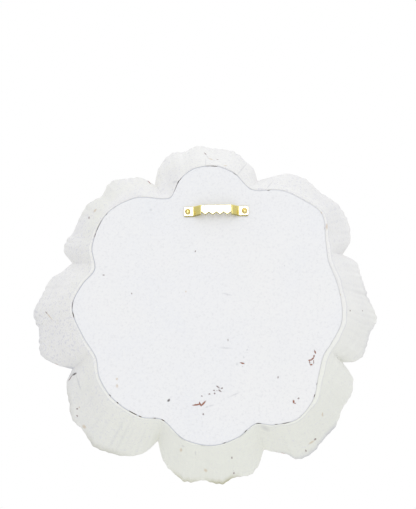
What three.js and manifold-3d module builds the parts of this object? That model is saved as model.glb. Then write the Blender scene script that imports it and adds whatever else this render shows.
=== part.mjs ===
// Flower wall plaque: a cast flower with a lobed board let into its back and a sawtooth hanger.
// Millimetres, +Z up. The flower faces -Y; its back, with the hanger, faces the wall at +Y.
// The origin is the middle of the outer face of the hanger's raised strip.
import * as THREE from "three";
import { mergeVertices } from "three/addons/utils/BufferGeometryUtils.js";
import Module from "manifold-3d";

const wasm = await Module();
wasm.setup();

// where the middle of the flower lies from the middle of the hanger
const flowerX = 9.7;
const flowerZ = -90.5;

// casting
const rimDepth = 40; // back plane to the back of the petal rims
const rimThickness = 5;
const rimRise = 0.12; // a rim that reaches less far lies this share less deep
const rimReach = 165;
const ledgeWidth = 3.5; // flat ledge round the board
const creaseDepth = 5; // how far the valleys between petals sink
const frontDish = 11; // how far the outer petals dip inside their rims
const jointGap = 0.8; // joint round the board
const restGap = 0.3;

// board
const boardThickness = 6;
const pilotRadius = 1.8;
const pilotDepth = 5;

// hanger
const hangerLength = 61;
const hangerHeight = 10;
const sheet = 1;
const standOff = 6.8; // board to the outer face of the strip
const stripLength = 29;
const legRun = 7;
const hangerTilt = 1; // degrees, as it was screwed on
const toothPitch = 6.9;
const toothDepth = 2.5;

// screws
const headRadius = 3;
const headHeight = 1.9;
const shankRadius = 1.4;
const shankLength = 5.6;
const screwX = 27.4;

// The eight outer petals. Each starts at the cleft before it and follows its ruffled rim
// clockwise as seen from behind: bearing in degrees from the top, reach from the middle.
const petalRims = [
  [[21, 143.5], [26.5, 154.5], [29.5, 161.5], [36.5, 167], [42, 165.5], [49.5, 169.5],
    [54, 167.5], [62.5, 158]],
  [[66.5, 145.5], [71.5, 155.5], [74.5, 154], [83, 156], [92, 164.5], [97, 158.5],
    [105.5, 155.5], [108.5, 148.5]],
  [[110.5, 138.5], [114.5, 154.5], [120.5, 159], [124.5, 158], [132.5, 164], [136, 163.5],
    [143.5, 167], [148.5, 165.5], [150.5, 155], [153.5, 149]],
  [[157.5, 141.5], [162.5, 156], [165.5, 159.5], [170, 159.5], [175, 164], [181, 160],
    [186, 161.5], [192, 154.5], [195, 148.5]],
  [[200, 131.5], [203.5, 146], [209.5, 156.5], [215.5, 160], [219.5, 166.5], [226.5, 162],
    [230.5, 163.5], [236.5, 156.5], [242.5, 150]],
  [[246.5, 138.5], [251.5, 153.5], [256.5, 163], [264, 161], [270, 166], [276, 160],
    [282.5, 155], [286, 147]],
  [[290.5, 139], [294.5, 151], [297.5, 154], [301.5, 152.5], [306.5, 155.5], [313.5, 159.5],
    [318.5, 156], [324.5, 161.5], [330.5, 155.5], [334, 153]],
  [[338.5, 139.5], [342.5, 154], [349, 165.5], [352, 164.5], [357, 170.5], [362, 167],
    [369, 166], [374.5, 158], [377.5, 153.5]],
];

// The board's edge, one lobe behind each petal, with a rounded cleft at the start of each.
const boardEdge = [
  [21, 120], [34, 133], [42, 137], [50, 140.5], [62, 127.5],
  [71, 122], [82, 124.5], [96, 127], [107, 121.5],
  [113.5, 118.5], [122, 122.5], [133, 133], [141, 135.5], [151, 128],
  [158, 120], [167, 127], [177.5, 131], [188, 127.5],
  [201, 114.5], [210, 120.5], [224, 122.5], [234, 120],
  [244.5, 113], [256, 118], [269, 124.5], [279, 117.5],
  [288, 109.5], [298, 121], [314, 128.5], [326, 124],
  [341.5, 109], [349, 125], [356, 133.5], [363, 135.5], [371, 131.5],
];

const radians = (degrees) => (degrees * Math.PI) / 180;
const lerp = (a, b, t) => a + (b - a) * t;

// A curve through [bearing, reach] points that turns level at every crest and dip.
function smoothCurve(points) {
  const rise = points.slice(1).map((p, i) => (p[1] - points[i][1]) / (p[0] - points[i][0]));
  const slope = points.map((p, i) => {
    if (i === 0) return rise[0];
    if (i === points.length - 1) return rise[i - 1];
    return rise[i - 1] * rise[i] <= 0 ? 0 : 2 / (1 / rise[i - 1] + 1 / rise[i]);
  });
  return (bearing) => {
    let i = 0;
    while (i < points.length - 2 && bearing > points[i + 1][0]) i += 1;
    const run = points[i + 1][0] - points[i][0];
    const t = (bearing - points[i][0]) / run;
    const ease = t * t * (3 - 2 * t);
    return lerp(points[i][1], points[i + 1][1], ease)
      + run * t * (1 - t) * (slope[i] * (1 - t) - slope[i + 1] * t);
  };
}

// Stations round the outer petals: the same number across each, one exactly in each cleft.
function petalStations(perPetal) {
  return petalRims.flatMap((rim, k) => {
    const next = petalRims[(k + 1) % petalRims.length][0];
    const end = k === petalRims.length - 1 ? [next[0] + 360, next[1]] : next;
    const reach = smoothCurve([...rim, end]);
    return Array.from({ length: perPetal }, (_, i) => {
      const share = i / perPetal;
      const bearing = lerp(rim[0][0], end[0], share);
      return { bearing, reach: reach(bearing), across: 2 * share - 1 };
    });
  });
}

const wrap = (points) => [
  ...points.slice(-2).map(([b, r]) => [b - 360, r]),
  ...points,
  ...points.slice(0, 2).map(([b, r]) => [b + 360, r]),
];
const boardCurve = smoothCurve(wrap(boardEdge));
const boardReach = (bearing) => boardCurve(bearing < 18 ? bearing + 360 : bearing);

// A closed body from rings about the middle axis, capped at both ends by a fan of faces.
// Each ring gives [reach, depth] for a station.
function ringBody(stations, rings) {
  const position = [];
  const index = [];
  const count = stations.length;
  const add = (reach, depth, bearing) => {
    const a = radians(bearing);
    position.push(flowerX - reach * Math.sin(a), -standOff - depth, flowerZ + reach * Math.cos(a));
  };
  rings.forEach((ring) => stations.forEach((s) => add(...ring(s), s.bearing)));
  const depthOf = (ring) => stations.reduce((sum, s) => sum + ring(s)[1], 0) / count;
  add(0, depthOf(rings[0]), 0);
  add(0, depthOf(rings[rings.length - 1]), 0);
  const first = rings.length * count;
  for (let i = 0; i < count; i += 1) {
    const j = (i + 1) % count;
    for (let r = 0; r < rings.length - 1; r += 1) {
      const [a, b, c, d] = [r * count + i, r * count + j, (r + 1) * count + j, (r + 1) * count + i];
      index.push(a, c, b, a, d, c);
    }
    const last = (rings.length - 1) * count;
    index.push(first, i, j, first + 1, last + j, last + i);
  }
  return solid(position, index);
}

// A manifold solid from vertices and triangles, turned so that its faces look outward.
function solid(position, index) {
  const triVerts = Uint32Array.from(index);
  const at = (i) => new THREE.Vector3().fromArray(position, 3 * i);
  let volume = 0;
  for (let t = 0; t < index.length; t += 3) {
    volume += at(index[t]).dot(at(index[t + 1]).cross(at(index[t + 2])));
  }
  if (volume < 0) {
    for (let t = 0; t < index.length; t += 3) {
      [triVerts[t + 1], triVerts[t + 2]] = [triVerts[t + 2], triVerts[t + 1]];
    }
  }
  const mesh = new wasm.Mesh({ numProp: 3, vertProperties: Float32Array.from(position), triVerts });
  return new wasm.Manifold(mesh);
}

function solidFromGeometry(geometry) {
  geometry.deleteAttribute("normal");
  geometry.deleteAttribute("uv");
  const merged = mergeVertices(geometry, 1e-4);
  return solid(Array.from(merged.attributes.position.array), Array.from(merged.index.array));
}

function meshFromSolid(body, name, material) {
  const { vertProperties, triVerts, numProp } = body.getMesh();
  const position = new Float32Array((vertProperties.length / numProp) * 3);
  for (let i = 0; i < position.length / 3; i += 1) {
    for (let k = 0; k < 3; k += 1) position[3 * i + k] = vertProperties[numProp * i + k];
  }
  const geometry = new THREE.BufferGeometry();
  geometry.setAttribute("position", new THREE.BufferAttribute(position, 3));
  geometry.setIndex(new THREE.BufferAttribute(Uint32Array.from(triVerts), 1));
  geometry.computeVertexNormals();
  const mesh = new THREE.Mesh(geometry, material);
  mesh.name = name;
  return mesh;
}

// ---- casting: outer petals, with the recess for the board in their back ----

const floorDepth = boardThickness + restGap;
const recessReach = ({ bearing }) => boardReach(bearing) + jointGap;
const ledgeReach = (s) => recessReach(s) + ledgeWidth;
const backDepth = ({ reach }) => rimDepth - rimRise * (rimReach - reach);
const valley = ({ across }) => Math.abs(across) ** 3;

// Backs of the petals: a slightly bowed slope from the ledge to the rim, sunk at the clefts.
const backRing = (t) => (s) => [
  lerp(ledgeReach(s), s.reach, t),
  backDepth(s) * t ** 1.1 + creaseDepth * valley(s) * 4 * t * (1 - t),
];

// Fronts of the outer petals: they dip inside the rim and run in under the middle petals.
const frontRing = (t) => (s) => [
  s.reach * (1 - 0.6 * t),
  backDepth(s) + rimThickness - frontDish * Math.sin(Math.PI * 0.5 * t)
    - creaseDepth * valley(s) * t * (1 - t) * 3,
];

const outerPetals = ringBody(petalStations(24), [
  (s) => [recessReach(s), floorDepth],
  (s) => [recessReach(s), 0],
  (s) => [ledgeReach(s), 0],
  backRing(0.25),
  backRing(0.5),
  backRing(0.75),
  (s) => [s.reach, backDepth(s)],
  (s) => [s.reach - 1, backDepth(s) + rimThickness],
  frontRing(0.15),
  frontRing(0.4),
  frontRing(0.7),
  frontRing(1),
]);

// ---- casting: the inner petals, plainer cups with a few soft ruffles ----

// A tier of equal petals: their rim reaches out between clefts and waves a little.
function tier({ petals, turn, foot, footDepth, reach, depth, thickness, cleft, ruffles, wave }) {
  const stations = Array.from({ length: petals * 12 }, (_, i) => {
    const share = (i % 12) / 12;
    const across = 2 * share - 1;
    const edge = reach - cleft * Math.abs(across) ** 4
      + wave * Math.cos(2 * Math.PI * ruffles * share) * (1 - across ** 2);
    return { bearing: turn + (i * 360) / (petals * 12), reach: edge, across };
  });
  const wall = (t, inset) => (s) => [
    lerp(foot, s.reach, t) - inset,
    lerp(footDepth, depth, t ** 1.3) + 3 * valley(s) * t * (1 - t) * 4,
  ];
  return ringBody(stations, [
    () => [foot, footDepth - 4],
    wall(0.35, 0),
    wall(0.7, 0),
    wall(1, 0),
    wall(1, thickness),
    (s) => [lerp(foot, s.reach, 0.7) - thickness - 3, depth - 6],
    (s) => [lerp(foot, s.reach, 0.3) - thickness - 6, depth - 13],
  ]);
}

const middlePetals = tier({
  petals: 8, turn: 0, foot: 72, footDepth: 30, reach: 119, depth: 53, thickness: 4,
  cleft: 14, ruffles: 3, wave: 1.6,
});
const innerPetals = tier({
  petals: 6, turn: 12, foot: 38, footDepth: 34, reach: 76, depth: 59, thickness: 4,
  cleft: 11, ruffles: 3, wave: 1.2,
});

// The button in the middle of the flower.
const buttonStations = Array.from({ length: 30 }, (_, i) => ({ bearing: i * 12 }));
const button = ringBody(buttonStations, [
  () => [24, 38],
  () => [25, 50],
  () => [22, 55],
  () => [15, 59],
  () => [7, 61],
]);

const flower = outerPetals.add(middlePetals).add(innerPetals).add(button);

// ---- board ----

// Parts of the hanger are drawn about the origin, then turned by its tilt.
const tilt = new THREE.Matrix4().makeRotationY(radians(hangerTilt));
const turned = (geometry) => solidFromGeometry(geometry.applyMatrix4(tilt));

// A round bar along Y from one level to another.
function bar(radius, from, to, x, segments = 20) {
  const geometry = new THREE.CylinderGeometry(radius, radius, to - from, segments);
  return geometry.translate(x, (from + to) / 2, 0);
}

let board = ringBody(petalStations(24), [
  (s) => [boardReach(s.bearing), boardThickness],
  (s) => [boardReach(s.bearing), 0],
]);
[screwX, -screwX].forEach((x) => {
  board = board.subtract(turned(bar(pilotRadius, -standOff - pilotDepth, -standOff + 1, x)));
});

// ---- hanger: one strip of sheet, bent up into a bridge, with a toothed lower edge ----

const tabTop = -standOff + restGap + sheet;
const stripHalf = stripLength / 2;
const bendHalf = stripHalf + legRun;
const hangerHalf = hangerLength / 2;
const bridge = new THREE.Shape([
  [-hangerHalf, tabTop - sheet], [-bendHalf + 0.4, tabTop - sheet], [-stripHalf + 0.4, -sheet],
  [stripHalf - 0.4, -sheet], [bendHalf - 0.4, tabTop - sheet], [hangerHalf, tabTop - sheet],
  [hangerHalf, tabTop], [bendHalf, tabTop], [stripHalf, 0],
  [-stripHalf, 0], [-bendHalf, tabTop], [-hangerHalf, tabTop],
].map(([x, y]) => new THREE.Vector2(x, y)));
const strip = new THREE.ExtrudeGeometry(bridge, { depth: hangerHeight, bevelEnabled: false });
let hanger = turned(strip.translate(0, 0, -hangerHeight / 2));

// Five notches leave four teeth along the lower edge of the strip.
for (let k = -2; k <= 2; k += 1) {
  const half = toothPitch / 2 - 0.4;
  const notch = new THREE.Shape([[-half, -1], [half, -1], [0.6, toothDepth], [-0.6, toothDepth]]
    .map(([x, z]) => new THREE.Vector2(x, z)));
  const cutter = new THREE.ExtrudeGeometry(notch, { depth: 3, bevelEnabled: false })
    .rotateX(Math.PI / 2).translate(k * toothPitch, 1, -hangerHeight / 2);
  hanger = hanger.subtract(turned(cutter));
}
[screwX, -screwX].forEach((x) => {
  hanger = hanger.subtract(turned(bar(pilotRadius, -standOff, tabTop + 1, x)));
});

// ---- screws: domed heads with a cross recess ----

function screw(x) {
  const seat = tabTop + restGap;
  const dome = Array.from({ length: 5 }, (_, i) => {
    const a = (Math.PI / 2) * (i / 4);
    return new THREE.Vector2(headRadius * Math.cos(a), 0.5 + (headHeight - 0.5) * Math.sin(a));
  });
  dome[4].x = 0;
  const profile = [
    new THREE.Vector2(0, -shankLength), new THREE.Vector2(shankRadius, -shankLength + 1),
    new THREE.Vector2(shankRadius, 0), new THREE.Vector2(headRadius, 0), ...dome,
  ];
  let body = turned(new THREE.LatheGeometry(profile, 20).translate(x, seat, 0));
  [[3.4, 0.8], [0.8, 3.4]].forEach(([wide, high]) => {
    const slot = new THREE.BoxGeometry(wide, 2, high).rotateY(radians(25));
    body = body.subtract(turned(slot.translate(x, seat + headHeight + 0.2, 0)));
  });
  return body;
}

const whitePaint = new THREE.MeshStandardMaterial({ color: 0xf0efea, roughness: 0.75, metalness: 0 });
const boardPaint = new THREE.MeshStandardMaterial({ color: 0xeeeff0, roughness: 0.8, metalness: 0 });
const brass = new THREE.MeshStandardMaterial({ color: 0xd9bd62, roughness: 0.3, metalness: 1 });

const plaque = new THREE.Group();
plaque.name = "flower_wall_plaque";
plaque.add(
  meshFromSolid(flower, "flower_casting", whitePaint),
  meshFromSolid(board, "back_panel", boardPaint),
  meshFromSolid(hanger, "sawtooth_hanger", brass),
  meshFromSolid(screw(screwX), "hanger_screw_left", brass),
  meshFromSolid(screw(-screwX), "hanger_screw_right", brass),
);

export default plaque;
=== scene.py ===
import math
import bpy
import numpy as np
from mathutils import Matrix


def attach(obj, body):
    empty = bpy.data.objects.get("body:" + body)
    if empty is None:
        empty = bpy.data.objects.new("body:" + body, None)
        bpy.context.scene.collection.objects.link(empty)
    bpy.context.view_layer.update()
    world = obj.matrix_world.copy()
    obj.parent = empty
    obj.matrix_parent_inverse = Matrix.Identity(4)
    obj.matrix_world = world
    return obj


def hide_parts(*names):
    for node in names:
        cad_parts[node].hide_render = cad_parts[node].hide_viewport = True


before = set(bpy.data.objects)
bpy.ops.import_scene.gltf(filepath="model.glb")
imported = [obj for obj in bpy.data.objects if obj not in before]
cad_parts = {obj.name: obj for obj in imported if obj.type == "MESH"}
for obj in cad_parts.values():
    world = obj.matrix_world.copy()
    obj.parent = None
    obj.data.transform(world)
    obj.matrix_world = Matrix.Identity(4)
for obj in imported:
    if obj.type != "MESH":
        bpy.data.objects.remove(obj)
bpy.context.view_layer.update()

mm = 0.001

# Where the middle of the flower lies on the plane of the board's back, in mm.
centre = {"x": 9.7, "y": -6.8, "z": -90.5}


# ---- small helpers ----

def linear(code):
    # sRGB hex to linear: the dark end is divided by 12.92, the rest is a power of 2.4
    parts = [int(code[i:i + 2], 16) / 255 for i in (1, 3, 5)]
    return [c / 12.92 if c <= 0.04045 else ((c + 0.055) / 1.055) ** 2.4 for c in parts] + [1.0]


def addNode(tree, kind, inputs=None, **settings):
    # one node: an input takes a plain value, another node's first live output, or one output
    new = tree.nodes.new(kind)
    for name, value in settings.items():
        setattr(new, name, value)
    for key, value in (inputs or {}).items():
        live = [s for s in new.inputs if s.enabled]
        socket = live[key] if isinstance(key, int) else next(s for s in live if s.name == key)
        if isinstance(value, bpy.types.Node):
            value = next(s for s in value.outputs if s.enabled)
        if isinstance(value, bpy.types.NodeSocket):
            tree.links.new(value, socket)
        else:
            socket.default_value = value
    return new


def smoothCurve(points, at):
    # cubic through [bearing, reach] points, level at each crest and dip, where neighbouring
    # rises are averaged as a harmonic mean
    b, r = np.array(points, float).T
    run, rise = np.diff(b), np.diff(r) / np.diff(b)
    slope = np.concatenate([rise[:1], np.zeros(len(b) - 2), rise[-1:]])
    same = rise[:-1] * rise[1:] > 0
    slope[1:-1][same] = 2 / (1 / rise[:-1][same] + 1 / rise[1:][same])
    i = np.clip(np.searchsorted(b, at, side="right") - 1, 0, len(run) - 1)
    t = (at - b[i]) / run[i]
    ease = t * t * (3 - 2 * t)
    bend = run[i] * t * (1 - t) * (slope[i] * (1 - t) - slope[i + 1] * t)
    return r[i] + (r[i + 1] - r[i]) * ease + bend


def ripple(bearing, spacing, seed):
    # a soft uneven wave round the flower: six sines of whole counts near 360 / spacing
    own = np.random.default_rng(seed)
    counts = np.maximum(1, np.round(360 / spacing * own.uniform(0.6, 1.5, 6)))
    phases = own.uniform(0, 2 * np.pi, 6)
    return np.sin(np.radians(bearing)[..., None] * counts + phases).sum(-1) / 2.4


def polar(bearing, reach, depth):
    # bearing clockwise from the top as seen from behind, reach from the middle, depth towards
    # the front of the flower, all as arrays of one shape, to points in metres
    a = np.radians(bearing)
    return np.stack([centre["x"] - reach * np.sin(a),
                     centre["y"] - depth,
                     centre["z"] + reach * np.cos(a)], -1) * mm


def closedSurface(name, rings, layers=None):
    # rings[k, i] is station i of ring k. Neighbours join in quads, the stations run round, and
    # the first and last ring each close on a pole at their mean.
    rows, cols, _ = rings.shape
    poles = np.stack([rings[0].mean(0), rings[-1].mean(0)])
    points = np.concatenate([rings.reshape(-1, 3), poles])
    k, i = np.meshgrid(np.arange(rows - 1), np.arange(cols), indexing="ij")
    j = (i + 1) % cols
    quads = np.stack([k * cols + i, k * cols + j, (k + 1) * cols + j, (k + 1) * cols + i], -1)
    quads = quads.reshape(-1, 4)
    i = np.arange(cols)
    j = (i + 1) % cols
    first = np.stack([j, i, np.full(cols, rows * cols)], -1)
    last = np.stack([(rows - 1) * cols + i, (rows - 1) * cols + j, np.full(cols, rows * cols + 1)], -1)
    fans = np.concatenate([first, last])
    # the sign of the volume says which way the faces look
    tris = np.concatenate([quads[:, :3], quads[:, [0, 2, 3]], fans])
    a, b, c = points[tris[:, 0]], points[tris[:, 1]], points[tris[:, 2]]
    if (a * np.cross(b, c)).sum() < 0:
        quads, fans = quads[:, ::-1], fans[:, ::-1]
    mesh = bpy.data.meshes.new(name)
    mesh.from_pydata(points.tolist(), [], quads.tolist() + fans.tolist())
    for layer, values in (layers or {}).items():
        flat = np.concatenate([values.reshape(-1), [values[0].mean(), values[-1].mean()]])
        mesh.attributes.new(layer, "FLOAT", "POINT").data.foreach_set("value", flat.astype(np.float32))
    mesh.shade_smooth()
    piece = bpy.data.objects.new(name, mesh)
    bpy.context.scene.collection.objects.link(piece)
    return piece


def combine(piece, others, how):
    # joins the others to the piece, or cuts them from it, and removes them
    for other in others:
        step = piece.modifiers.new(how, "BOOLEAN")
        step.operation = how
        step.solver = "MANIFOLD"
        step.object = other
    graph = bpy.context.evaluated_depsgraph_get()
    done = bpy.data.meshes.new_from_object(piece.evaluated_get(graph))
    piece.modifiers.clear()
    piece.data = done
    for other in others:
        bpy.data.objects.remove(other)


def sharpen(piece, degrees):
    # smooth shading, with edges sharper than the angle kept crisp
    piece.data.shade_smooth()
    piece.data.set_sharp_from_angle(angle=math.radians(degrees))


# ---- camera, behind the plaque and a little below it ----

view = {"distance": 1500, "below": 12, "lens": 112.03, "pitch": 13.985, "yaw": 0.078, "aimDepth": 20}
low = math.radians(view["below"])
camera = bpy.data.objects.new("camera", bpy.data.cameras.new("camera"))
camera.data.lens = view["lens"]
camera.data.sensor_width = 36
camera.location = (centre["x"] * mm,
                   (centre["y"] - view["aimDepth"] + view["distance"] * math.cos(low)) * mm,
                   (centre["z"] - view["distance"] * math.sin(low)) * mm)
camera.rotation_euler = (math.radians(90 + view["pitch"]), 0, math.radians(180 - view["yaw"]))
bpy.context.scene.collection.objects.link(camera)
bpy.context.scene.camera = camera
print("camera placed")


# ---- casting: the outer petals ----

petals = {
    "perPetal": 110,
    "rimDepth": 40, "rimThickness": 5, "rimRise": 0.35, "fullReach": 165,
    "crease": 5, "backCrease": 1, "dish": 11, "flutter": 1.6, "crimp": 0.35,
    "backLump": 0.4, "frontLump": 0.5, "warp": 0.35, "rimRound": 1.2, "foldDrop": 0.5,
    "frontReach": 0.62, "creaseShare": 3.2, "grooveShade": 0.45,
    "jointGap": 0.8, "recess": 6.3,
    # each petal starts at the cleft before it and follows its ruffled rim: bearing, reach
    "rims": [
        [[21, 140], [26.5, 154], [29.5, 162], [36.5, 167], [42, 165.5], [49.5, 169.5],
         [54, 168], [62.5, 158]],
        [[66.5, 143.5], [71.5, 154.5], [74.5, 154], [83, 156], [92, 164], [97, 158],
         [105.5, 155], [108.5, 148.5]],
        [[110.5, 138], [114.5, 153.5], [120.5, 158.5], [124.5, 158], [132.5, 163.5], [136, 163.5],
         [143.5, 166.5], [148.5, 163.5], [150.5, 155], [153.5, 149]],
        [[157.5, 141.5], [162.5, 156], [165.5, 159.5], [170, 158.5], [175, 163], [181, 159],
         [186, 161.5], [192, 154], [195, 148.5]],
        [[200, 131], [203.5, 146], [209.5, 156.5], [215.5, 162], [219.5, 165], [226.5, 161],
         [230.5, 162], [236.5, 155], [242.5, 148.5]],
        [[246.5, 137.5], [251.5, 152.5], [256.5, 162.5], [264, 160.5], [270, 165.5], [276, 159],
         [282.5, 153], [286, 144]],
        [[290.5, 137], [294.5, 151], [297.5, 153], [301.5, 151.5], [306.5, 154.5], [313.5, 158.5],
         [318.5, 155], [324.5, 161.5], [330.5, 154.5], [334, 150.5]],
        [[338.5, 135.5], [342.5, 153], [349, 165.5], [352, 164.5], [357, 170], [362, 167.2],
         [369, 166], [374.5, 157], [377.5, 152.5]],
    ],
    # height of the fine flutes that run out along the petals: bearing, height
    "flutes": [[0, 0.12], [35, 0.18], [60, 0.12], [90, 0.2], [130, 0.1], [170, 0.1], [200, 0.2],
               [212, 0.8], [225, 0.3], [240, 0.12], [265, 0.12], [300, 0.15], [330, 0.12],
               [360, 0.12]],
    # how speckled the paint is: bearing, strength
    "speckle": [[0, 1], [40, 1.5], [65, 0.7], [90, 0.4], [120, 0.5], [150, 0.6], [180, 0.3],
                [212, 0.8], [240, 1], [262, 1.8], [285, 1], [300, 1.5], [320, 1.2], [360, 1]],
    # a painted warm tint that stands in for warm light bounced from below, strongest round the bottom:
    # bearing, share
    "warmBounceTint": [[0, 0.1], [60, 0], [100, 0.4], [125, 0.9], [150, 1], [185, 1], [212, 0.8],
             [235, 0.3], [262, 0], [330, 0], [360, 0.1]],
    # stretches of the rim darkened with painted shade: bearing, half width, olive, grey
    "rimShade": [[174.5, 4.5, 1, 0], [187, 4, 0.6, 0], [142, 9, 0, 0.7], [134, 3, 0, 0.9],
              [217, 7, 0.5, 0.3], [247, 1.5, 0, 1], [236, 6, 0.2, 0.3], [262, 12, 0, 0.4],
              [83, 4, 0, 0.4], [100, 5, 0, 0.4]],
    # how strongly painted shade marks the fold between ledge and petal: bearing, share
    "creaseShade": [[0, 0.1], [40, 0.2], [60, 0.7], [100, 0.8], [140, 0.5], [170, 0.2], [200, 0.2],
             [225, 0.4], [250, 0.4], [270, 0.1], [290, 0.5], [310, 0.2], [360, 0.1]],
    # width of the flat ledge round the board: bearing, width
    "ledge": [[0, 1.2], [45, 1.5], [60, 3.6], [100, 4], [125, 4.5], [140, 2], [165, 1], [200, 1.2],
              [225, 2.5], [245, 3], [262, 1.5], [290, 3.5], [305, 1.8], [360, 1.2]],
}

board = {
    "thickness": 6, "edgeRound": 0.4, "bead": 0.15,
    # the edge, one lobe behind each petal, with a rounded cleft at the start of each
    "edge": [
        [21, 120], [34, 133], [42, 137], [50, 140.5], [62, 127.5],
        [71, 122], [82, 124.5], [96, 127], [107, 121.5],
        [113.5, 118.5], [122, 122.5], [133, 133], [141, 135.5], [151, 128],
        [158, 120], [167, 127], [177.5, 131], [188, 127.5],
        [201, 114.5], [210, 120.5], [224, 122.5], [234, 120],
        [244.5, 113], [256, 118], [269, 124.5], [279, 117.5],
        [288, 109.5], [298, 121], [314, 128.5], [326, 124],
        [341.5, 109], [349, 125], [356, 133.5], [363, 135.5], [371, 131.5],
    ],
    # where the joint stands open: bearing, half width, how open, how brown
    "gaps": [
        [3.2, 1.1, 0.7, 0.8], [1, 0.9, 0.3, 0.3], [347.8, 1.2, 1, 0.5], [346.4, 1.4, 0.5, 0.3],
        [12, 0.7, 0.35, 0.2], [28.1, 0.4, 0.5, 0.2], [317.5, 0.6, 0.2, 0.1], [307, 3, 0.35, 0.3],
        [302.9, 0.9, 0.4, 1], [313, 0.5, 0.3, 0.2], [265.7, 1, 0.8, 0.8], [270.1, 1.6, 0.35, 0.5],
        [226.1, 0.4, 0.6, 0.4], [221.5, 0.4, 0.8, 0.7], [213.5, 1.6, 0.9, 0.5], [210, 0.5, 0.9, 1],
        [203.9, 0.5, 0.5, 0.5], [200, 0.6, 0.9, 0.9], [172.5, 0.7, 0.35, 0.4], [162.8, 0.5, 0.5, 0.3],
        [156.5, 1, 0.5, 0.3], [150.1, 0.5, 0.4, 0.6], [146.5, 1.6, 0.4, 0.6], [130.5, 0.5, 0.5, 0.9],
        [126, 0.4, 0.3, 0.5], [56.5, 0.5, 0.2, 0.8],
    ],
    # how clearly the closed joint shows: bearing, share
    "line": [[0, 0.8], [30, 0.6], [55, 0.3], [90, 0.3], [120, 0.25], [140, 0.4], [165, 0.65], [200, 0.8],
             [230, 0.7], [250, 0.6], [272, 1], [300, 0.9], [320, 0.6], [345, 0.8], [360, 0.8]],
}


def boardReach(bearing):
    edge = np.array(board["edge"])
    around = np.concatenate([edge - [360, 0], edge, edge + [360, 0]])
    return smoothCurve(around, bearing)


def petalStations(count):
    # equal steps across each petal, the first exactly in its cleft: bearing, reach of the rim,
    # and how far across the petal each lies, from -1 to 1
    bearings, reaches, across = [], [], []
    for k, rim in enumerate(petals["rims"]):
        end = list(petals["rims"][(k + 1) % 8][0])
        end[0] += 360 if end[0] < rim[0][0] else 0
        share = np.arange(count) / count
        bearing = rim[0][0] + (end[0] - rim[0][0]) * share
        bearings.append(bearing)
        reaches.append(smoothCurve(rim + [end], bearing))
        across.append(2 * share - 1)
    return np.concatenate(bearings), np.concatenate(reaches), np.concatenate(across)


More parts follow.
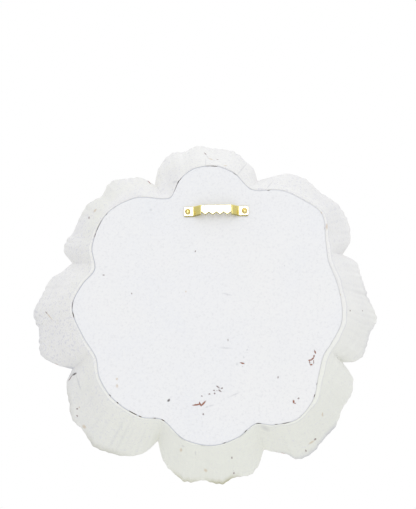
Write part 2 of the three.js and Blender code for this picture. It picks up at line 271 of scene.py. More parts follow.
def makeOuterPetals():
    # Each station is one section through the casting, from the recess floor out over the ledge,
    # down the bowed back of the petal, round the rim and in again over the dished front. A
    # valley sinks at each cleft, fine flutes run outwards, and the rim flutters to and fro where
    # its reach rises and falls.
    p = petals
    b, reach, across = petalStations(p["perPetal"])
    edge = boardReach(b) + p["jointGap"]
    ledge = edge + smoothCurve(p["ledge"], b % 360) + 0.25 * ripple(b, 9, 3)
    inside = 1 - np.abs(across) ** 8
    reach = reach + p["crimp"] * ripple(b, 3.1, 4) * inside
    slope = np.gradient(reach) / np.gradient(b)
    flutter = p["flutter"] * np.tanh(slope / 2) * inside
    depth = p["rimDepth"] - p["rimRise"] * (p["fullReach"] - reach)
    valley = p["crease"] * np.abs(across) ** 4
    lumps = ripple(b, 24, 5)
    flutes = smoothCurve(p["flutes"], b % 360) * ripple(b, 3.2, 7)
    groove = np.clip(flutes, 0, 1)
    place, width, shadeOlive, shadeGrey = np.array(p["rimShade"]).T
    hump = np.clip(1.5 - np.abs((b[:, None] - place + 180) % 360 - 180) / width, 0, 1)
    shadeOlive, shadeGrey = (hump * shadeOlive).max(1), (hump * shadeGrey).max(1)
    creaseShade = smoothCurve(p["creaseShade"], b % 360)
    speckle, warmBounceTint = smoothCurve(p["speckle"], b % 360), smoothCurve(p["warmBounceTint"], b % 360)
    rings, layers = [], {"wear": [], "shadeOlive": [], "shadeGrey": [], "creaseShade": [], "speckle": [], "warmBounceTint": []}

    def ring(r, d, rim=0.0, shadedCrease=0.0):
        rings.append(polar(b, r + 0 * b, d + 0 * b))
        for layer, values in (("wear", 1), ("shadeOlive", shadeOlive), ("shadeGrey", shadeGrey)):
            layers[layer].append(rim * values + 0 * b)
        layers["creaseShade"].append(shadedCrease + 0 * b)
        layers["speckle"].append(speckle)
        layers["warmBounceTint"].append(warmBounceTint)

    for t in (0.45, 0.8):
        ring(edge * t, p["recess"])
    ring(edge, p["recess"])
    ring(edge, 3)
    ring(edge, 0.2)
    ring(edge + 0.2, 0)
    ring(edge + (ledge - edge) * 0.5, 0)
    ring(ledge - 0.5, 0)
    # painted shade: a grey line along the fold at the ledge's outer edge
    ring(ledge, 0.12, 0, creaseShade)
    # the bowed back, which bulges at mid-height and carries the lumps, flutes and slow warp
    for t in np.linspace(0, 1, 28)[1:-1]:
        mid = math.sin(math.pi * t)
        bow = (depth * t ** 1.1 + p["backCrease"] * np.abs(across) ** 5 * 4 * t * (1 - t)
               + p["foldDrop"] * min(1, t * 12))
        soft = p["backLump"] * lumps * mid + flutter * t ** 3
        fine = flutes * (0.3 + 0.7 * t) + p["warp"] * ripple(b + 40 * t, 14, 6) * t * (1 - t) * 4
        # painted shade and grime in the flute grooves, carried in the crease layer
        ring(ledge + (reach - p["rimRound"] - ledge) * t, bow + soft + fine,
             max(0.0, (t - 0.9) / 0.1) * 0.5, p["grooveShade"] * groove * mid)
    # the rim: half an ellipse from the back of the petal to its front
    for a in np.linspace(0, np.pi, 9):
        through = (p["rimThickness"] - 2 * p["foldDrop"]) * (1 - math.cos(a)) / 2
        ring(reach - p["rimRound"] + p["rimRound"] * math.sin(a),
             depth + p["foldDrop"] + flutter + flutes * (1 - a / np.pi) + through,
             0.55 + 0.45 * math.sin(a))
    for t in np.linspace(0, 1, 22)[1:]:
        dish = p["dish"] * math.sin(math.pi * 0.5 * t)
        fade = flutter * (1 - t) ** 2 * (1 + 0.8 * math.sin(3 * t))
        uneven = (p["frontLump"] * lumps + 0.5 * flutes) * math.sin(math.pi * t)
        ring((reach - p["rimRound"]) * (1 - p["frontReach"] * t),
             depth + p["rimThickness"] - p["foldDrop"] + fade - dish
             - valley * t * (1 - t) * p["creaseShare"] + uneven,
             max(0.0, (0.1 - t) / 0.1) * 0.5)
    return closedSurface("flowerCasting", np.array(rings), {k: np.array(v) for k, v in layers.items()})


# ---- casting: the middle and inner petals and the button ----

tiers = {
    "middle": {"petals": 8, "turn": 0, "foot": 72, "footDepth": 30, "reach": 119, "depth": 53,
               "hollow": 17, "thickness": 4, "cleft": 14, "ruffles": 3, "wave": 1.6, "seed": 21},
    "inner": {"petals": 6, "turn": 12, "foot": 38, "footDepth": 34, "reach": 76, "depth": 59,
              "hollow": 17, "thickness": 4, "cleft": 11, "ruffles": 3, "wave": 1.2, "seed": 22},
}


def makeTier(name, t, perPetal=44):
    # A cup of equal petals: the section runs from the foot up the outside, round the rim and
    # down the inside; the rim's reach dips at the clefts and waves a little between them.
    share = np.tile(np.arange(perPetal) / perPetal, t["petals"])
    across = 2 * share - 1
    b = t["turn"] + np.arange(t["petals"] * perPetal) * 360 / (t["petals"] * perPetal)
    inside = 1 - across ** 2
    reach = (t["reach"] - t["cleft"] * np.abs(across) ** 4
             + t["wave"] * np.cos(2 * np.pi * t["ruffles"] * share) * inside
             + 0.3 * ripple(b, 4, t["seed"]) * inside)
    flutter = 1.1 * ripple(b, 11, t["seed"] + 1) * inside
    valley = 3 * np.abs(across) ** 4
    rings, wear = [], []

    def ring(r, d, w=0.0):
        rings.append(polar(b, r + 0 * b, d + 0 * b))
        wear.append(w + 0 * b)

    top = t["depth"] - 0.8
    ring(t["foot"] * 0.5, t["footDepth"] - 4)
    ring(t["foot"], t["footDepth"] - 4)
    for s in np.linspace(0.1, 0.99, 14):
        rise = (top - t["footDepth"]) * s ** 1.3
        ring(t["foot"] + (reach - 1 - t["foot"]) * s,
             t["footDepth"] + rise + valley * s * (1 - s) * 4 + flutter * s ** 2)
    for a in np.linspace(0, np.pi, 8):
        ring(reach - 1 - t["thickness"] / 2 + (t["thickness"] / 2 + 1) * math.cos(a),
             top + flutter + 0.8 * math.sin(a), 0.5 + 0.5 * math.sin(a))
    for s in np.linspace(0, 1, 12)[1:]:
        ring((reach - 2 - t["thickness"]) * (1 - s) + (t["foot"] - t["thickness"] - 8) * s,
             top + flutter * (1 - s) - t["hollow"] * math.sin(math.pi * 0.5 * s)
             - valley * s * (1 - s) * 3)
    return closedSurface(name, np.array(rings), {"wear": np.array(wear)})


button = {"reach": 24, "foot": 38, "shoulder": 48, "top": 61, "seeds": 13, "knob": 0.7}


def makeButton():
    # A dome knobbed by seeds, where two sets of waves that wind in opposite ways multiply
    b = np.arange(144) * 2.5
    wind = np.radians(b) * button["seeds"]
    rings = [polar(b, button["reach"] + 0 * b, button["foot"] + 0 * b)]
    for s in np.linspace(0, 0.97, 26):
        a = s * np.pi / 2
        knob = button["knob"] * np.sin(wind + s * 9) * np.sin(wind - s * 9)
        rings.append(polar(b, (button["reach"] + knob * (1 - s ** 2)) * math.cos(a) ** 0.8,
                           button["shoulder"] + (button["top"] - button["shoulder"] - button["knob"])
                           * math.sin(a) + knob * s))
    rings = np.array(rings)
    return closedSurface("button", rings, {"wear": np.full(rings.shape[:2], 0.15)})


casting = makeOuterPetals()
combine(casting, [makeTier(name, tiers[name]) for name in tiers] + [makeButton()], "UNION")
sharpen(casting, 60)
print("casting made,", len(casting.data.polygons), "faces")


# ---- the board let into the back ----

def makeBoard():
    # A flat lobed plate with a softly rounded edge. A bead of paint bridges the joint just
    # under the surface, and drops away where the joint stands open, by the highest of some
    # smooth humps round the edge.
    p = board
    b = np.arange(1440) * 0.25
    reach = boardReach(b)
    place, width, depth, rust = np.array(p["gaps"]).T
    away = np.abs((b[:, None] - place + 180) % 360 - 180) / width
    hump = np.clip(1.4 - away, 0, 1) * depth
    gap, brown = hump.max(1), (hump * rust).max(1)
    rings, layers = [], {"joint": [], "gap": [], "brown": []}

    def ring(r, d, joint=0.0):
        rings.append(polar(b, r + 0 * b, d + 0 * b))
        layers["joint"].append(joint + 0 * b)
        layers["gap"].append(gap)
        layers["brown"].append(brown)

    for t in (0.05, 0.2, 0.4, 0.6, 0.8, 0.93):
        ring(reach * t, 0)
    ring(reach - 2, 0)
    ring(reach - p["edgeRound"], 0)
    line = np.maximum(smoothCurve(p["line"], b), np.minimum(1, gap * 3))
    sunk = p["bead"] + 3.5 * gap
    ring(reach - p["edgeRound"] * 0.4, 0.04)
    ring(reach - 0.05, 0.12 + 0.3 * gap, 0.5 * line)
    ring(reach + 0.1, sunk, line)
    ring(reach + petals["jointGap"] - 0.15, sunk, line)
    ring(reach + petals["jointGap"] - 0.1, sunk + 1, line)
    ring(reach, np.maximum(sunk + 1.2, 3), line)
    ring(reach, p["thickness"])
    ring(reach * 0.5, p["thickness"])
    return closedSurface("backPanel", np.array(rings), {k: np.array(v) for k, v in layers.items()})


panel = makeBoard()
sharpen(panel, 50)
print("board made")


# ---- hanger: bent strip with a toothed lower edge ----

hanger = {"length": 60.4, "height": 10, "sheet": 0.9, "standOff": 6.8, "strip": 29.4,
          "legRun": 6.4, "bend": 1, "tilt": 1, "toothPitch": 6.9, "toothDepth": 2.5, "lip": 0.8,
          "cornerRound": 0.5, "rest": 0.3, "hole": 1.75, "pilot": 1.7, "screwX": 26.9}


def turned(points):
    # turns points about the middle of the strip by the hanger's tilt
    a = math.radians(hanger["tilt"])
    x, y, z = np.moveaxis(points, -1, 0)
    return np.stack([x * math.cos(a) + z * math.sin(a), y, z * math.cos(a) - x * math.sin(a)], -1)


def bentPath(h, steps):
    # the strip's middle line: straight runs joined by arcs, each arc a quadratic curve between
    # points one bend length before and after the corner, then spaced evenly
    tab = -h["standOff"] + h["rest"] + h["sheet"] / 2
    face = -h["sheet"] / 2
    half = [[h["strip"] / 2, face], [h["strip"] / 2 + h["legRun"], tab], [h["length"] / 2, tab]]
    corners = np.array([[-x, y] for x, y in half[::-1]] + half)
    line = [corners[:1]]
    for before, at, after in zip(corners[:-2], corners[1:-1], corners[2:]):
        start = at + (before - at) / np.linalg.norm(before - at) * h["bend"]
        stop = at + (after - at) / np.linalg.norm(after - at) * h["bend"]
        t = np.linspace(0, 1, 9)[:, None]
        line.append(start * (1 - t) ** 2 + 2 * at * t * (1 - t) + stop * t ** 2)
    line = np.concatenate(line + [corners[-1:]])
    along = np.concatenate([[0], np.cumsum(np.linalg.norm(np.diff(line, axis=0), axis=1))])
    s = np.linspace(0, along[-1], steps)
    return np.stack([np.interp(s, along, line[:, 0]), np.interp(s, along, line[:, 1])], -1), s


def makeHanger():
    # A rounded flat section carried along the bent line. Its lower edge is notched under the
    # raised strip, and its height closes in at the rounded ends.
    h = hanger
    path, s = bentPath(h, 420)
    step = np.gradient(path, axis=0)
    normal = np.stack([-step[:, 1], step[:, 0]], -1) / np.linalg.norm(step, axis=1)[:, None]
    x = path[:, 0]
    notch = np.abs(2 * ((x / h["toothPitch"]) % 1) - 1)
    notch = notch * (np.abs(x) < h["strip"] / 2 - 0.4) * h["toothDepth"]
    fromEnd = np.minimum(s, s[-1] - s)
    corner = np.clip(1 - fromEnd / h["cornerRound"], 0, 1)
    inset = h["cornerRound"] * (1 - np.sqrt(1 - corner ** 2))
    top, bottom = h["height"] / 2 - inset, -h["height"] / 2 + inset + notch
    # one section: up the outer face, over the top edge, down the inner face, under the bottom edge
    up = np.linspace(0, 1, 15)
    arc = np.linspace(0, np.pi, 7)[1:-1]
    share = np.concatenate([up, 0 * arc + 1, up[::-1], 0 * arc])
    out = np.concatenate([0 * up + 1, np.cos(arc), 0 * up - 1, -np.cos(arc)]) * h["sheet"] / 2
    lip = np.concatenate([0 * up, np.sin(arc), 0 * up, -np.sin(arc)]) * h["lip"]
    z = bottom[:, None] + h["lip"] + (top - bottom - 2 * h["lip"])[:, None] * share + lip
    xy = path[:, None, :] + normal[:, None, :] * out[None, :, None]
    points = np.stack([xy[..., 0], xy[..., 1], z], -1)
    # lower edges of the section: darker as duller sheared metal and as painted shade under the strip
    cutEdgeAndShade = (share == 0)[None, :]
    # painted reflection: the bent legs get a deeper colour for the darker room their tilt reflects
    legReflection = np.clip(np.abs(step[:, 1] / step[:, 0]) * 2, 0, 1)[:, None]
    return closedSurface("sawtoothHanger", turned(points) * mm, {"cutEdgeAndShade": cutEdgeAndShade + 0 * z, "legReflection": legReflection + 0 * z})


def roundBar(name, radius, levels, x):
    # a plain bar along Y, from its radius at each level
    a = np.radians(np.arange(40) * 9)
    rings = [np.stack([x + r * np.cos(a), y + 0 * a, r * np.sin(a)], -1) for r, y in zip(radius, levels)]
    return closedSurface(name, turned(np.array(rings)) * mm)


strip = makeHanger()
sides = (hanger["screwX"], -hanger["screwX"])
combine(strip, [roundBar("hole", [hanger["hole"]] * 2, [-8, -4], x) for x in sides], "DIFFERENCE")
combine(panel, [roundBar("pilot", [hanger["pilot"]] * 2, [-11.8, -5], x) for x in sides],
        "DIFFERENCE")
sharpen(strip, 35)
sharpen(panel, 50)

screws = {"head": 2.8, "rise": 1.9, "seat": -5.2, "shank": 1.05, "thread": 0.3, "pitch": 1.1,
          "length": 5.6,
          "slotWide": 3.6, "slotHigh": 0.75, "turn": 12, "edgeRound": 0.15}


def makeScrew(name, x, turn):
    # A dome on a threaded shank: the shank's radius climbs and falls once per pitch and once
    # per turn, so its ridge winds round. Two crossed bars are cut from the dome.
    p = screws
    a = np.radians(np.arange(96) * 3.75)
    rings = []
    for y in np.linspace(-p["length"], 0, 46):
        wind = (y / p["pitch"] - a / (2 * np.pi)) % 1
        ridge = p["thread"] * (1 - 2 * np.abs(wind - 0.5)) * min(1, (y + p["length"]) / 1.2)
        r = p["shank"] * min(1, 0.25 + (y + p["length"]) / 1.4) + ridge
        rings.append(np.stack([x + r * np.cos(a), p["seat"] + y + 0 * a, r * np.sin(a)], -1))
    for t in np.linspace(0, 0.985, 18):
        r = p["head"] * math.cos(t * np.pi / 2) ** 0.7
        y = p["seat"] + 0.35 + (p["rise"] - 0.35) * math.sin(t * np.pi / 2)
        if t == 0:
            under = r - p["edgeRound"]
            rings.append(np.stack([x + under * np.cos(a), p["seat"] + 0 * a,
                                   under * np.sin(a)], -1))
        rings.append(np.stack([x + r * np.cos(a), y + 0 * a, r * np.sin(a)], -1))
    piece = closedSurface(name, turned(np.array(rings)) * mm)
    cutters = []
    for wide, high in ((p["slotWide"], p["slotHigh"]), (p["slotHigh"], p["slotWide"])):
        c, s = math.cos(math.radians(turn)), math.sin(math.radians(turn))
        square = np.array([[-wide, -high], [wide, -high], [wide, high], [-wide, high]]) / 2
        across, up = square[:, 0] * c - square[:, 1] * s, square[:, 0] * s + square[:, 1] * c
        rows = [np.stack([x + across * k, 0 * across + p["seat"] + y, up * k], -1)
                for k, y in ((0.75, 0.9), (1, 3))]
        cutters.append(closedSurface("cross", turned(np.array(rows)) * mm))
    combine(piece, cutters, "DIFFERENCE")
    sharpen(piece, 35)
    return piece


screwLeft = makeScrew("hangerScrewLeft", hanger["screwX"], screws["turn"])
screwRight = makeScrew("hangerScrewRight", -hanger["screwX"], -3 * screws["turn"])
print("hanger and screws made")


# ---- marks: chips, dots and scratches at their places, in mm from the origin ----

# each is x, z, half length, half width, and its turn anticlockwise as seen from behind
boardMarks = {
    "chips": [[18.3, -184.4, 3.6, 0.7, 8], [15.2, -183.2, 1.4, 0.5, -79], [14.4, -184.6, 1.3, 0.7, -47],
        [12, -183.2, 3.1, 0.7, 47], [-91.6, -135.2, 1.6, 0.5, -69], [-90.5, -139.1, 1.3, 0.5, 79],
        [-89.2, -141.4, 1.8, 0.6, 48], [-86.8, -142.8, 1.8, 0.6, 14], [-86.4, -144.8, 1.6, 0.3, -80],
        [-90, -144.4, 1.8, 0.3, -90], [-87.9, -147, 1.1, 0.7, 0], [-24, -145.6, 2.1, 0.6, -15],
        [-71.1, -181.5, 1.6, 0.8, -80], [-72.4, -183, 0.8, 0.4, -15]],
    "dots": [[-75.6, -178.4, 0.9, 0.5, 10], [13.4, -176.2, 0.6, 0.6, 0], [6.4, -174.4, 0.7, 0.6, 0],
        [1.6, -173.9, 0.6, 0.6, 0], [2.2, -171.1, 0.8, 0.6, 0], [-1.5, -167.9, 1.8, 0.5, -36],
        [-3.2, -171.4, 1.6, 0.5, -40], [-5.1, -169, 0.8, 0.6, 21], [-0.5, -171.3, 0.3, 0.4, -90],
        [12, -193.1, 0.7, 0.7, 0], [19.6, -38.8, 0.4, 0.7, 0], [105.8, -61.9, 1, 0.5, 0],
        [79.2, -79.5, 0.4, 0.7, 0], [-57, -158.8, 1, 0.4, 86], [-10.9, -123.8, 1.1, 0.4, -90],
        [-24.1, -148.6, 0.2, 0.3, 0]],
    "dark": [[43.9, -180.3, 1.4, 1, 51]],
    "faint": [[62, 1.7, 1.2, 1, -85], [-64.3, -52.8, 0.5, 0.8, 0], [-18.9, -146.5, 0.6, 1.1, 0],
        [-25.4, -139.9, 0.6, 1.1, 0], [-28.5, -133.1, 0.6, 0.8, -27], [-10, -80.2, 3.7, 0.6, -15],
        [-8.9, -131.4, 4.6, 0.6, -2], [-16.6, -175, 4.4, 0.6, 24], [8.8, -186.4, 1.5, 0.7, 34],
        [4.6, -185.1, 2.3, 0.6, 15], [-90.8, -133.3, 1.1, 0.6, -70]],
    "rust": [[28.4, -77.7, 0.5, 0.8, 0], [91.9, -160.4, 1, 0.9, -90], [91.6, -166.9, 1.5, 1, -90]],
}
castingMarks = {
    "chips": [[65.6, 39.4, 4.5, 0.4, -60]],
    "dots": [[10.4, 65.4, 2, 0.5, -61], [-1.5, 56, 1, 0.5, 12], [122, -0.4, 1.4, 0.6, -84],
        [161.2, -92.4, 1.3, 0.5, -51], [137.4, -154.6, 2.6, 0.5, 47], [130.6, -183.6, 0.9, 0.5, -4],
        [130.7, -189.8, 0.9, 0.6, -59], [-92.6, -212, 1.2, 0.7, 28], [-84, -222.4, 0.9, 0.6, -66],
        [-14.3, -231.2, 0.8, 0.5, -80], [-16.4, -243.3, 0.7, 0.7, -22], [-125.4, -95, 0.4, 0.7, 0],
        [-138.7, -91.5, 0.4, 0.7, 0]],
    # the first dark mark is a painted shadow in the cleft near bearing 245, and the broad faint mark at
    # 135.4, -151.6 is painted shade round it
    "dark": [[133.2, -151.8, 2.1, 0.9, 13], [36.2, 28.6, 2, 0.5, 73]],
    "faint": [[9.9, 50.5, 5.7, 0.4, -90], [8.4, 60, 2.4, 0.6, -69], [39.7, 30.4, 2, 1.4, -32],
        [128.8, -160.8, 6.6, 0.5, -71], [168.6, -93.1, 0.9, 0.9, -14], [166, -101.4, 0.7, 0.8, -90],
        [-16, -241.5, 0.5, 0.6, 0], [19.2, -227.9, 1.6, 0.6, -83], [135.4, -151.6, 3.8, 1.6, 12],
        # the long faint lines at -25.2, 47.3 and -51.5, 29.4 are painted shade along wrinkles in the
        # upper petals
        [-45, -205.7, 3.8, 1.4, -22], [30.6, -221.8, 1.2, 0.6, -33], [-25.2, 47.3, 11.2, 0.5, 66],
        [-51.5, 29.4, 8.2, 0.5, 62], [38.8, 30.6, 2.2, 0.7, -35]],
    "rust": [[4.9, 55.9, 2.2, 0.8, -36], [-8.8, 46.3, 1.6, 0.7, 10], [116.2, 6, 1.8, 1.1, 52],
        [157.8, -96.7, 4.7, 0.4, -51], [124.1, -199.6, 2, 1.2, -37], [128.3, -182.6, 0.6, 0.6, -45],
        [-89, -215, 2.7, 0.7, 33], [-98.6, -191, 1.5, 0.7, -87], [32.6, -224.8, 1.3, 1.1, -82],
        [9.9, -241.6, 1.6, 1, -27], [-79, -191.2, 0.9, 1, -45], [-74.4, -196.3, 0.8, 0.9, 39],
        [-99.6, -1.2, 1, 0.9, -90], [-104.6, -14.7, 2.7, 0.8, -90], [-115.7, -80.7, 1, 0.8, -90],
        [-99.4, -5.6, 0.9, 0.5, -59]],
}


def markMask(tree, place, marks, soft, strength):
    # Nearness to the closest mark: each mark measures its own stretched and turned distance,
    # the smallest wins, and it turns to a mask with an edge as wide as soft
    nearest = None
    for x, z, length, width, turn in marks:
        own = addNode(tree, "ShaderNodeMapping", {
            "Vector": place, "Location": (x * mm, 0, z * mm), "Rotation": (0, math.radians(turn), 0),
            "Scale": (length * mm, 1000, width * mm)}, vector_type="TEXTURE")
        far = addNode(tree, "ShaderNodeVectorMath", {0: own}, operation="LENGTH")
        nearest = far if nearest is None else addNode(
            tree, "ShaderNodeMath", {0: nearest, 1: far}, operation="MINIMUM")
    return addNode(tree, "ShaderNodeMapRange", {
        "Value": nearest, "From Min": 1 + soft, "From Max": 1 - soft, "To Min": 0.0, "To Max": strength})


def raggedPlace(tree, place, size, amount):
    # the surface's own coordinates pushed about by fine noise, so that marks get ragged edges
    noise = addNode(tree, "ShaderNodeTexNoise", {"Vector": place, "Scale": 1 / (size * mm),
                                                 "Detail": 2.0})
    centred = addNode(tree, "ShaderNodeVectorMath", {0: noise.outputs["Color"], 1: (0.5, 0.5, 0.5)},
                      operation="SUBTRACT")
    return addNode(tree, "ShaderNodeVectorMath", {0: centred, 1: (amount * mm,) * 3, 2: place},
                   operation="MULTIPLY_ADD")


def newMaterial(name):
    material = bpy.data.materials.new(name)
    material.use_nodes = True
    tree = material.node_tree
    tree.nodes.clear()
    shader = addNode(tree, "ShaderNodeBsdfPrincipled")
    addNode(tree, "ShaderNodeOutputMaterial", {"Surface": shader})
    return material, tree, shader


def layColours(tree, base, layers):
    # colours laid one over another, each through its own mask
    for mask, code in layers:
        base = addNode(tree, "ShaderNodeMix", {"Factor": mask, "A": base, "B": linear(code)},
                       data_type="RGBA")
    return base


# each kind of mark: colour, strength, softness of its edge
markLooks = {"faint": ["#c4c4c8", 0.4, 0.6], "rust": ["#cbb08a", 0.5, 0.5],
             "dots": ["#94807e", 0.9, 0.4], "chips": ["#a56a54", 1.0, 0.3],
             "dark": ["#453e3a", 0.9, 0.4]}


def layMarks(tree, place, base, marks):
    # the marks over the paint, and one mask of those that break it
    masks = {kind: markMask(tree, place, marks[kind], soft, strength)
             for kind, (code, strength, soft) in markLooks.items()}
    colour = layColours(tree, base, [(masks[kind], look[0]) for kind, look in markLooks.items()])
    broken = addNode(tree, "ShaderNodeMath", {0: masks["dots"], 1: masks["chips"]},
                     operation="MAXIMUM")
    return colour, broken


castingPaint = {"white": "#f5f4f2", "shade": "#ecebeb", "warm": "#f1f1e8", "worn": "#d9d8d2",
                "body": "#a2654f", "shadeOlive": "#b3b08a", "shadeGrey": "#c9cad2", "lavender": "#e1e0e4",
                "straw": "#eae9e5", "warmBounceTint": "#f1f2e9", "roughness": 0.62,
                "lineWidth": 3.5, "lineLength": 30, "lineSpread": 0.14, "speckle": 2.6}


def makeCastingPaint(p):
    # Distressed matt white paint brushed over a cast composite body: an even soft white, faint
    # clouds of grey and cream, fine brush lines along the petals, and rims worn thin.
    material, tree, shader = newMaterial("distressedWhitePaint")
    place = addNode(tree, "ShaderNodeTexCoord").outputs["Object"]
    clouds = addNode(tree, "ShaderNodeTexNoise", {"Vector": place, "Scale": 1 / 0.05, "Detail": 3.0})
    cream = addNode(tree, "ShaderNodeTexNoise", {"Vector": place, "Scale": 1 / 0.08, "Detail": 2.0,
                                                 "Distortion": 0.4})
    # brush lines follow the way out from the middle: fine round the flower, long outwards
    middle = addNode(tree, "ShaderNodeVectorMath", {0: place, 1: [centre[k] * mm for k in "xyz"]},
                     operation="SUBTRACT")
    flat = addNode(tree, "ShaderNodeVectorMath", {0: middle, 1: (1, 0, 1)}, operation="MULTIPLY")
    way = addNode(tree, "ShaderNodeVectorMath", {0: flat}, operation="NORMALIZE")
    outward = addNode(tree, "ShaderNodeVectorMath", {0: flat}, operation="LENGTH")
    slow = addNode(tree, "ShaderNodeMath", {0: outward, 1: p["lineWidth"] / p["lineLength"]},
                   operation="MULTIPLY")
    along = addNode(tree, "ShaderNodeCombineXYZ", {"Y": slow})
    fibre = addNode(tree, "ShaderNodeVectorMath", {0: way, 1: (p["lineSpread"],) * 3, 2: along},
                    operation="MULTIPLY_ADD")
    lines = addNode(tree, "ShaderNodeTexNoise", {"Vector": fibre, "Scale": 1 / (p["lineWidth"] * mm),
                                                 "Detail": 4.0, "Roughness": 0.6})
    speckle = addNode(tree, "ShaderNodeTexNoise", {
        "Vector": place, "Scale": 1 / (p["speckle"] * mm), "Detail": 2.0, "Roughness": 0.7})
    # paint rubbed thin along the rims, painted shade on rims and creases, speckle, and painted warm
    # bounce light
    wear, shadeOlive, shadeGrey, creaseShade, dusty, warmBounceTint = [
        addNode(tree, "ShaderNodeAttribute", attribute_name=name).outputs["Fac"]
        for name in ("wear", "shadeOlive", "shadeGrey", "creaseShade", "speckle", "warmBounceTint")]
    cool = addNode(tree, "ShaderNodeMapRange", {"Value": speckle, "From Min": 0.52, "From Max": 0.75})
    dull = addNode(tree, "ShaderNodeMapRange", {"Value": speckle, "From Min": 0.48, "From Max": 0.25})
    grit = addNode(tree, "ShaderNodeTexNoise", {"Vector": place, "Scale": 1 / 0.006, "Detail": 4.0})
    rubbed = addNode(tree, "ShaderNodeMath", {0: wear, 1: grit}, operation="MULTIPLY")
    base = layColours(tree, linear(p["white"]), [
        (addNode(tree, "ShaderNodeMapRange", {"Value": clouds, "From Min": 0.45,
                                              "From Max": 0.75}), p["shade"]),
        (addNode(tree, "ShaderNodeMapRange", {"Value": cream, "From Min": 0.5,
                                              "From Max": 0.8}), p["warm"]),
        (addNode(tree, "ShaderNodeMapRange", {"Value": lines, "From Min": 0.5, "From Max": 0.8,
                                              "To Max": 0.35}), p["shade"]),
        # painted warm bounce light: the lower petals tinted warm
        (warmBounceTint, p["warmBounceTint"]),
        (addNode(tree, "ShaderNodeMath", {0: cool, 1: dusty}, operation="MULTIPLY"), p["lavender"]),
        (addNode(tree, "ShaderNodeMath", {0: dull, 1: dusty}, operation="MULTIPLY"), p["straw"]),
        # painted shade: the ledge fold line and the flute grooves
        (addNode(tree, "ShaderNodeMath", {0: creaseShade, 1: 0.6}, operation="MULTIPLY"), p["shadeGrey"]),
        # painted shade: olive and grey along stretches of the rims
        (shadeOlive, p["shadeOlive"]), (shadeGrey, p["shadeGrey"]),
        (addNode(tree, "ShaderNodeMapRange", {"Value": rubbed, "From Min": 0.35, "From Max": 0.6,
                                              "To Max": 0.5}), p["worn"]),
        (addNode(tree, "ShaderNodeMapRange", {"Value": rubbed, "From Min": 0.62, "From Max": 0.66,
                                              "To Max": 0.8}), p["body"]),
    ])
    colour, broken = layMarks(tree, raggedPlace(tree, place, 1.3, 1.1), base, castingMarks)
    grain = addNode(tree, "ShaderNodeTexNoise", {"Vector": place, "Scale": 1 / 0.0016, "Detail": 3.0})
    brushed = addNode(tree, "ShaderNodeBump", {"Height": lines, "Strength": 0.35, "Distance": 0.0006})
    fine = addNode(tree, "ShaderNodeBump", {"Height": grain, "Strength": 0.25, "Distance": 0.0002,
                                            "Normal": brushed})
    pit = addNode(tree, "ShaderNodeBump", {"Height": broken, "Strength": 0.8, "Distance": 0.0004,
                                           "Normal": fine}, invert=True)
    tree.links.new(colour.outputs[2], shader.inputs["Base Color"])
    tree.links.new(pit.outputs[0], shader.inputs["Normal"])
    shader.inputs["Roughness"].default_value = p["roughness"]
    shader.inputs["IOR"].default_value = 1.5
    return material


boardPaint = {"white": "#f2f2f3", "shade": "#eeeff2", "warm": "#f4f3f1", "line": "#c6c9d2",
              "dark": "#574c46", "brown": "#95694c", "lavender": "#e9e9ea", "straw": "#f4f4f3",
              "roughness": 0.7, "speckle": 2.4}


def makeBoardPaint(p):
    # Matt white paint rolled on fibreboard: a cool, very even white with a faint roller
    # stipple, and a joint filled with paint that has shrunk to a fine grey line.
    material, tree, shader = newMaterial("rolledWhitePaint")
    place = addNode(tree, "ShaderNodeTexCoord").outputs["Object"]
    clouds = addNode(tree, "ShaderNodeTexNoise", {"Vector": place, "Scale": 1 / 0.04, "Detail": 4.0})
    warm = addNode(tree, "ShaderNodeTexNoise", {"Vector": place, "Scale": 1 / 0.11, "Detail": 1.0})
    speckle = addNode(tree, "ShaderNodeTexNoise", {
        "Vector": place, "Scale": 1 / (p["speckle"] * mm), "Detail": 2.0, "Roughness": 0.7})
    joint, gap, brown = [addNode(tree, "ShaderNodeAttribute", attribute_name=name).outputs["Fac"]
                         for name in ("joint", "gap", "brown")]
    # the line itself goes from grey to dark to brown, and shows only at the joint
    line = layColours(tree, linear(p["line"]), [(gap, p["dark"]), (brown, p["brown"])])
    base = layColours(tree, linear(p["white"]), [
        (addNode(tree, "ShaderNodeMapRange", {"Value": clouds, "From Min": 0.42, "From Max": 0.7,
                                              "To Max": 0.6}), p["shade"]),
        (addNode(tree, "ShaderNodeMapRange", {"Value": warm, "From Min": 0.5, "From Max": 0.75,
                                              "To Max": 0.6}), p["warm"]),
        (addNode(tree, "ShaderNodeMapRange", {"Value": speckle, "From Min": 0.52,
                                              "From Max": 0.75}), p["lavender"]),
        (addNode(tree, "ShaderNodeMapRange", {"Value": speckle, "From Min": 0.48,
                                              "From Max": 0.25}), p["straw"]),
    ])
    base = addNode(tree, "ShaderNodeMix", {"Factor": joint, "A": base, "B": line}, data_type="RGBA")
    colour, broken = layMarks(tree, raggedPlace(tree, place, 1.1, 1.3), base, boardMarks)
    stipple = addNode(tree, "ShaderNodeTexNoise", {"Vector": place, "Scale": 1 / 0.0022, "Detail": 3.0})
    fine = addNode(tree, "ShaderNodeBump", {"Height": stipple, "Strength": 0.25, "Distance": 0.0002})
    pit = addNode(tree, "ShaderNodeBump", {"Height": broken, "Strength": 0.9, "Distance": 0.0006,
                                           "Normal": fine}, invert=True)
    tree.links.new(colour.outputs[2], shader.inputs["Base Color"])
    tree.links.new(pit.outputs[0], shader.inputs["Normal"])
    shader.inputs["Roughness"].default_value = p["roughness"]
    shader.inputs["IOR"].default_value = 1.5
    return material


plating = {"bright": "#f3ebc6", "dull": "#ccb358", "legReflection": "#f6e792", "cutEdgeAndShade": "#b5ab74", "roughness": 0.16}


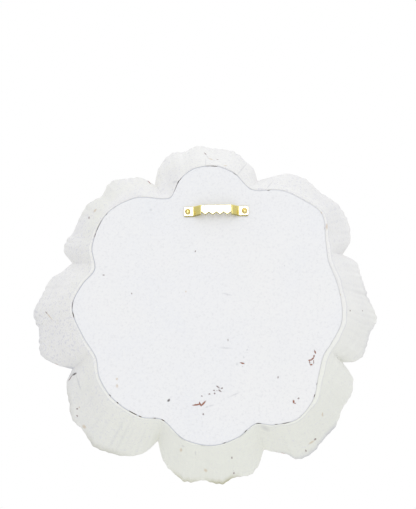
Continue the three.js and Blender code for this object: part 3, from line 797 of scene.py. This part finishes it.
def makePlating(p, name, dullness):
    # Brass plate on pressed steel: bright yellow metal with fine drawing lines along the strip,
    # a duller bloom in patches, painted reflection as deeper colour on the bent legs, and lower edges
    # darkened with duller sheared metal and painted shade.
    material, tree, shader = newMaterial(name)
    place = addNode(tree, "ShaderNodeTexCoord").outputs["Object"]
    drawn = addNode(tree, "ShaderNodeMapping", {"Vector": place, "Scale": (0.05, 0.05, 1.0)})
    lines = addNode(tree, "ShaderNodeTexNoise", {"Vector": drawn, "Scale": 1 / 0.0004, "Detail": 2.0})
    bloom = addNode(tree, "ShaderNodeTexNoise", {"Vector": place, "Scale": 1 / 0.003, "Detail": 3.0})
    share = addNode(tree, "ShaderNodeMapRange", {"Value": bloom, "From Min": 0.4, "From Max": 0.75,
                                                 "To Min": dullness, "To Max": 0.35 + dullness})
    cutEdgeAndShade, legReflection = [addNode(tree, "ShaderNodeAttribute", attribute_name=layer).outputs["Fac"]
                for layer in ("cutEdgeAndShade", "legReflection")]
    rough = addNode(tree, "ShaderNodeMapRange", {"Value": bloom, "To Min": p["roughness"] - 0.05,
                                                 "To Max": p["roughness"] + 0.12})
    bump = addNode(tree, "ShaderNodeBump", {"Height": lines, "Strength": 0.15, "Distance": 0.00005})
    colour = layColours(tree, linear(p["bright"]), [
        # painted reflection on the legs; lower edges are duller sheared metal with painted shade
        (share, p["dull"]), (legReflection, p["legReflection"]), (cutEdgeAndShade, p["cutEdgeAndShade"])])
    tree.links.new(colour.outputs[2], shader.inputs["Base Color"])
    tree.links.new(rough.outputs[0], shader.inputs["Roughness"])
    tree.links.new(bump.outputs[0], shader.inputs["Normal"])
    shader.inputs["Metallic"].default_value = 1.0
    return material


def dress(piece, node, material):
    piece.data.materials.clear()
    piece.data.materials.append(material)
    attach(piece, "root")
    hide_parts(node)


dress(casting, "flower_casting", makeCastingPaint(castingPaint))
dress(panel, "back_panel", makeBoardPaint(boardPaint))
dress(strip, "sawtooth_hanger", makePlating(plating, "brassPlatedStrip", 0.0))
screwBrass = makePlating(plating, "brassPlatedScrew", 0.6)
dress(screwLeft, "hanger_screw_left", screwBrass)
dress(screwRight, "hanger_screw_right", screwBrass)
print("materials made")


# ---- floor and light ----

studio = {
    "floorDrop": 1300, "floorSize": 4.0, "floorColour": "#eeeeee",
    "skyStrength": 0.96, "skyColour": "#fcfdff", "flags": 0.35,
    # place in mm from the flower's middle, size in mm, power in watts, colour
    "lamps": {
        "front": [(-60, 1900, 620), 400, 2.2, "#ffffff"],
        "top": [(0, 500, 1900), 1600, 2.0, "#fcfdff"],
        "side": [(-1700, 900, 300), 1200, 1.2, "#ffffff"],
        "below": [(0, 700, -1050), 1200, 0.6, "#fdf6d8"],
        "farSide": [(600, -1900, 700), 1500, 1.6, "#ffffff"],
    },
}


def makeStudio(s):
    # a pale floor well below, soft square lamps that all aim at the flower, and an even sky
    size, level = s["floorSize"], (centre["z"] - s["floorDrop"]) * mm
    mesh = bpy.data.meshes.new("floor")
    mesh.from_pydata([(x * size, y * size, level) for x, y in ((-1, -1), (1, -1), (1, 1), (-1, 1))],
                     [], [(0, 1, 2, 3)])
    floor = bpy.data.objects.new("floor", mesh)
    bpy.context.scene.collection.objects.link(floor)
    material, tree, shader = newMaterial("paleFloor")
    shader.inputs["Base Color"].default_value = linear(s["floorColour"])
    shader.inputs["Roughness"].default_value = 0.9
    mesh.materials.append(material)
    middle = np.array([centre[k] for k in "xyz"])
    for name, (place, width, power, colour) in s["lamps"].items():
        lamp = bpy.data.lights.new(name, "AREA")
        lamp.shape = "SQUARE"
        lamp.size = width * mm
        lamp.energy = power
        lamp.color = linear(colour)[:3]
        holder = bpy.data.objects.new(name, lamp)
        holder.location = (middle + place) * mm
        back = np.array(place, float) / np.linalg.norm(place)
        holder.rotation_euler = (math.acos(back[2]), 0, math.atan2(back[0], -back[1]))
        bpy.context.scene.collection.objects.link(holder)
    world = bpy.data.worlds.new("softSky")
    bpy.context.scene.world = world
    world.use_nodes = True
    tree = world.node_tree
    tree.nodes.clear()
    # an even sky, darker to the left and right as between two black cards
    place = addNode(tree, "ShaderNodeTexCoord").outputs["Generated"]
    heading = addNode(tree, "ShaderNodeSeparateXYZ", {0: place})
    sideways = addNode(tree, "ShaderNodeMath", {0: heading.outputs["X"]}, operation="ABSOLUTE")
    strength = addNode(tree, "ShaderNodeMapRange", {
        "Value": sideways, "From Min": 0.75, "From Max": 0.97, "To Min": s["skyStrength"],
        "To Max": s["skyStrength"] * (1 - s["flags"])})
    sky = addNode(tree, "ShaderNodeBackground", {"Color": linear(s["skyColour"]), "Strength": strength})
    seen = addNode(tree, "ShaderNodeBackground", {"Color": (1, 1, 1, 1), "Strength": 1.0})
    path = addNode(tree, "ShaderNodeLightPath")
    both = addNode(tree, "ShaderNodeMixShader", {0: path.outputs["Is Camera Ray"], 1: sky, 2: seen})
    addNode(tree, "ShaderNodeOutputWorld", {"Surface": both})
    bpy.context.scene.view_settings.view_transform = "Standard"
    bpy.context.scene.view_settings.look = "None"


makeStudio(studio)
print("floor and light set")
